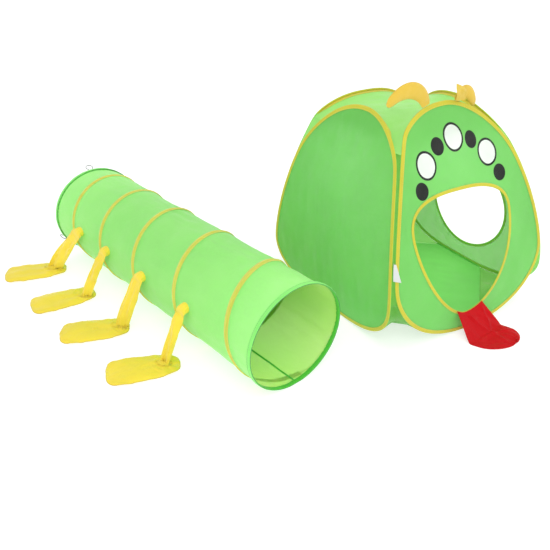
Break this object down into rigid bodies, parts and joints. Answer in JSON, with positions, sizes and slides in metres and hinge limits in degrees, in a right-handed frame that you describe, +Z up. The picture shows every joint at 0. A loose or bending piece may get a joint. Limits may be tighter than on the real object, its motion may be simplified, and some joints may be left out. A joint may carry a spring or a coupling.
{
  "type": "play tent with tunnel",
  "caption": "Pop-up play tent on sprung wire hoops with a mouth-shaped door, tongue flap and padded antennae, beside a coil-sprung crawl tunnel with padded legs and feet.",
  "frame": {"origin": "middle of the tent's floor, on the ground", "axes": "+Z up; +Y along the tunnel, from its near end to its far end; the tunnel stands on the tent's -X side, and the tent's mouth faces -Y turned 11 degrees towards -X"},
  "size_m": [2.132, 2.1659, 1.0931],
  "materials": {
    "green_cloth": "thin woven polyester, slight sheen",
    "yellow_cloth": "padded woven polyester, matt",
    "yellow_tape": "woven binding tape, matt",
    "green_hem": "woven polyester hem, matt",
    "red_cloth": "woven polyester, matt",
    "white_label": "blank satin tag",
    "spring_steel": "plain sprung wire"
  },
  "bodies": {
    "tent_base": {"left_hoop": "spring_steel", "left_hoop_tape": "yellow_tape", "left_wall": "green_cloth", "floor": "green_cloth", "roof": "green_cloth", "care_label": "white_label", "front_left_gusset": "green_cloth", "front_right_gusset": "green_cloth", "back_right_gusset": "green_cloth", "back_left_gusset": "green_cloth"},
    "front_panel": {"front_hoop": "spring_steel", "front_hoop_tape": "yellow_tape", "front_wall": "green_cloth", "mouth_tape": "yellow_tape"},
    "right_panel": {"right_hoop": "spring_steel", "right_hoop_tape": "yellow_tape", "right_wall": "green_cloth", "port_tape": "yellow_tape"},
    "back_panel": {"back_hoop": "spring_steel", "back_hoop_tape": "yellow_tape", "back_wall": "green_cloth"},
    "tongue": {"tongue": "red_cloth"},
    "left_antenna": {"left_antenna": "yellow_cloth"},
    "right_antenna": {"right_antenna": "yellow_cloth"},
    "tunnel_near": {"near_hem": "green_hem", "near_ring": "spring_steel", "tunnel_skin": "green_cloth", "coil_wire": "spring_steel", "coil_tape": "yellow_tape", "lengthwise_seam": "green_hem"},
    "tunnel_far": {"far_hem": "green_hem", "far_ring": "spring_steel", "top_tie_loop": "green_hem", "side_tie_loop": "green_hem"},
    "leg_station_1": {"outer_leg_root_1": "yellow_cloth", "inner_leg_root_1": "yellow_cloth"},
    "outer_leg_1": {"outer_leg_1": "yellow_cloth"},
    "outer_foot_1": {"outer_foot_1": "yellow_cloth"},
    "inner_leg_1": {"inner_leg_1": "yellow_cloth"},
    "inner_foot_1": {"inner_foot_1": "yellow_cloth"},
    "leg_station_2": {"outer_leg_root_2": "yellow_cloth", "inner_leg_root_2": "yellow_cloth"},
    "outer_leg_2": {"outer_leg_2": "yellow_cloth"},
    "outer_foot_2": {"outer_foot_2": "yellow_cloth"},
    "inner_leg_2": {"inner_leg_2": "yellow_cloth"},
    "inner_foot_2": {"inner_foot_2": "yellow_cloth"},
    "leg_station_3": {"outer_leg_root_3": "yellow_cloth", "inner_leg_root_3": "yellow_cloth"},
    "outer_leg_3": {"outer_leg_3": "yellow_cloth"},
    "outer_foot_3": {"outer_foot_3": "yellow_cloth"},
    "inner_leg_3": {"inner_leg_3": "yellow_cloth"},
    "inner_foot_3": {"inner_foot_3": "yellow_cloth"},
    "leg_station_4": {"outer_leg_root_4": "yellow_cloth", "inner_leg_root_4": "yellow_cloth"},
    "outer_leg_4": {"outer_leg_4": "yellow_cloth"},
    "outer_foot_4": {"outer_foot_4": "yellow_cloth"},
    "inner_leg_4": {"inner_leg_4": "yellow_cloth"},
    "inner_foot_4": {"inner_foot_4": "yellow_cloth"}
  },
  "joints": [
    {"name": "tent_fold", "type": "hinge", "parent": "tent_base", "child": "front_panel", "pos_m": [-0.53741, -0.39481, 0], "axis": [0, 0, -1], "range_deg": [0, 82], "stiffness_Nm_per_rad": 1.2, "deforming": ["left_hoop", "left_hoop_tape", "left_wall", "floor", "roof", "care_label", "front_left_gusset", "front_right_gusset", "back_right_gusset", "back_left_gusset", "front_hoop", "front_hoop_tape", "front_wall", "mouth_tape", "right_hoop", "right_hoop_tape", "right_wall", "port_tape", "back_hoop", "back_hoop_tape", "back_wall"]},
    {"name": "back_fold", "type": "hinge", "parent": "tent_base", "child": "back_panel", "pos_m": [-0.3606, 0.51476, 0], "axis": [0, 0, -1], "range_deg": [0, 82]},
    {"name": "right_fold", "type": "hinge", "parent": "front_panel", "child": "right_panel", "pos_m": [0.35038, -0.56738, 0], "axis": [0, 0, -1], "range_deg": [-82, 0]},
    {"name": "tongue_lift", "type": "hinge", "parent": "front_panel", "child": "tongue", "pos_m": [-0.11793, -0.5281, 0.0977], "axis": [-0.9816, 0.1908, 0], "range_deg": [0, 100]},
    {"name": "left_antenna_bend", "type": "hinge", "parent": "front_panel", "child": "left_antenna", "pos_m": [-0.14929, -0.18104, 0.9611], "axis": [0.9575, -0.1861, 0.2202], "range_deg": [-40, 25], "stiffness_Nm_per_rad": 0.05},
    {"name": "right_antenna_bend", "type": "hinge", "parent": "front_panel", "child": "right_antenna", "pos_m": [0.02561, -0.21412, 0.9625], "axis": [0.9483, -0.1843, -0.2582], "range_deg": [-25, 25], "stiffness_Nm_per_rad": 0.05},
    {"name": "tunnel_place", "type": "slide", "parent": "tent_base", "child": "tunnel_near", "axis": [1, 0, 0], "range_m": [-0.3, 0]},
    {"name": "tunnel_collapse", "type": "slide", "parent": "tunnel_near", "child": "tunnel_far", "axis": [0, -1, 0], "range_m": [0, 1.55], "stiffness_N_per_m": 12, "deforming": ["tunnel_skin", "coil_wire", "coil_tape", "lengthwise_seam", "outer_leg_root_1", "inner_leg_root_1", "outer_leg_root_2", "inner_leg_root_2", "outer_leg_root_3", "inner_leg_root_3", "outer_leg_root_4", "inner_leg_root_4", "outer_leg_1", "inner_leg_1", "outer_leg_2", "inner_leg_2", "outer_leg_3", "inner_leg_3", "outer_leg_4", "inner_leg_4", "outer_foot_1", "inner_foot_1", "outer_foot_2", "inner_foot_2", "outer_foot_3", "inner_foot_3", "outer_foot_4", "inner_foot_4"]},
    {"name": "station_1_slide", "type": "slide", "parent": "tunnel_near", "child": "leg_station_1", "axis": [0, -1, 0], "range_m": [0, 1.2842]},
    {"name": "outer_leg_1_swing", "type": "hinge", "parent": "leg_station_1", "child": "outer_leg_1", "pos_m": [-1.2467, 1.071, 0.265], "axis": [0, 1, 0], "range_deg": [0, 80]},
    {"name": "outer_foot_1_droop", "type": "hinge", "parent": "outer_leg_1", "child": "outer_foot_1", "pos_m": [-1.3297, 1.252, 0.016], "axis": [0, 1, 0], "range_deg": [-120, 0]},
    {"name": "inner_leg_1_swing", "type": "hinge", "parent": "leg_station_1", "child": "inner_leg_1", "pos_m": [-0.7293, 1.071, 0.265], "axis": [0, -1, 0], "range_deg": [0, 80]},
    {"name": "inner_foot_1_droop", "type": "hinge", "parent": "inner_leg_1", "child": "inner_foot_1", "pos_m": [-0.6463, 1.252, 0.016], "axis": [0, -1, 0], "range_deg": [-120, 0]},
    {"name": "station_2_slide", "type": "slide", "parent": "tunnel_near", "child": "leg_station_2", "axis": [0, -1, 0], "range_m": [0, 1.0233]},
    {"name": "outer_leg_2_swing", "type": "hinge", "parent": "leg_station_2", "child": "outer_leg_2", "pos_m": [-1.2467, 0.7922, 0.265], "axis": [0, 1, 0], "range_deg": [0, 80]},
    {"name": "outer_foot_2_droop", "type": "hinge", "parent": "outer_leg_2", "child": "outer_foot_2", "pos_m": [-1.3297, 0.8792, 0.016], "axis": [0, 1, 0], "range_deg": [-120, 0]},
    {"name": "inner_leg_2_swing", "type": "hinge", "parent": "leg_station_2", "child": "inner_leg_2", "pos_m": [-0.7293, 0.7922, 0.265], "axis": [0, -1, 0], "range_deg": [0, 80]},
    {"name": "inner_foot_2_droop", "type": "hinge", "parent": "inner_leg_2", "child": "inner_foot_2", "pos_m": [-0.6463, 0.8792, 0.016], "axis": [0, -1, 0], "range_deg": [-120, 0]},
    {"name": "station_3_slide", "type": "slide", "parent": "tunnel_near", "child": "leg_station_3", "axis": [0, -1, 0], "range_m": [0, 0.7194]},
    {"name": "outer_leg_3_swing", "type": "hinge", "parent": "leg_station_3", "child": "outer_leg_3", "pos_m": [-1.2467, 0.4675, 0.265], "axis": [0, 1, 0], "range_deg": [0, 80]},
    {"name": "outer_foot_3_droop", "type": "hinge", "parent": "outer_leg_3", "child": "outer_foot_3", "pos_m": [-1.3297, 0.5245, 0.016], "axis": [0, 1, 0], "range_deg": [-120, 0]},
    {"name": "inner_leg_3_swing", "type": "hinge", "parent": "leg_station_3", "child": "inner_leg_3", "pos_m": [-0.7293, 0.4675, 0.265], "axis": [0, -1, 0], "range_deg": [0, 80]},
    {"name": "inner_foot_3_droop", "type": "hinge", "parent": "inner_leg_3", "child": "inner_foot_3", "pos_m": [-0.6463, 0.5245, 0.016], "axis": [0, -1, 0], "range_deg": [-120, 0]},
    {"name": "station_4_slide", "type": "slide", "parent": "tunnel_near", "child": "leg_station_4", "axis": [0, -1, 0], "range_m": [0, 0.3985]},
    {"name": "outer_leg_4_swing", "type": "hinge", "parent": "leg_station_4", "child": "outer_leg_4", "pos_m": [-1.2467, 0.1247, 0.265], "axis": [0, 1, 0], "range_deg": [0, 80]},
    {"name": "outer_foot_4_droop", "type": "hinge", "parent": "outer_leg_4", "child": "outer_foot_4", "pos_m": [-1.3297, 0.1597, 0.016], "axis": [0, 1, 0], "range_deg": [-120, 0]},
    {"name": "inner_leg_4_swing", "type": "hinge", "parent": "leg_station_4", "child": "inner_leg_4", "pos_m": [-0.7293, 0.1247, 0.265], "axis": [0, -1, 0], "range_deg": [0, 80]},
    {"name": "inner_foot_4_droop", "type": "hinge", "parent": "inner_leg_4", "child": "inner_foot_4", "pos_m": [-0.6463, 0.1597, 0.016], "axis": [0, -1, 0], "range_deg": [-120, 0]}
  ],
  "couplings": [
    {"joint": "back_fold", "follows": "tent_fold", "ratio": 1},
    {"joint": "right_fold", "follows": "tent_fold", "ratio": -1},
    {"joint": "station_1_slide", "follows": "tunnel_collapse", "ratio": 0.8279},
    {"joint": "outer_foot_1_droop", "follows": "outer_leg_1_swing", "ratio": -1.5},
    {"joint": "inner_foot_1_droop", "follows": "inner_leg_1_swing", "ratio": -1.5},
    {"joint": "station_2_slide", "follows": "tunnel_collapse", "ratio": 0.65954},
    {"joint": "outer_foot_2_droop", "follows": "outer_leg_2_swing", "ratio": -1.5},
    {"joint": "inner_foot_2_droop", "follows": "inner_leg_2_swing", "ratio": -1.5},
    {"joint": "station_3_slide", "follows": "tunnel_collapse", "ratio": 0.46347},
    {"joint": "outer_foot_3_droop", "follows": "outer_leg_3_swing", "ratio": -1.5},
    {"joint": "inner_foot_3_droop", "follows": "inner_leg_3_swing", "ratio": -1.5},
    {"joint": "station_4_slide", "follows": "tunnel_collapse", "ratio": 0.25646},
    {"joint": "outer_foot_4_droop", "follows": "outer_leg_4_swing", "ratio": -1.5},
    {"joint": "inner_foot_4_droop", "follows": "inner_leg_4_swing", "ratio": -1.5}
  ]
}
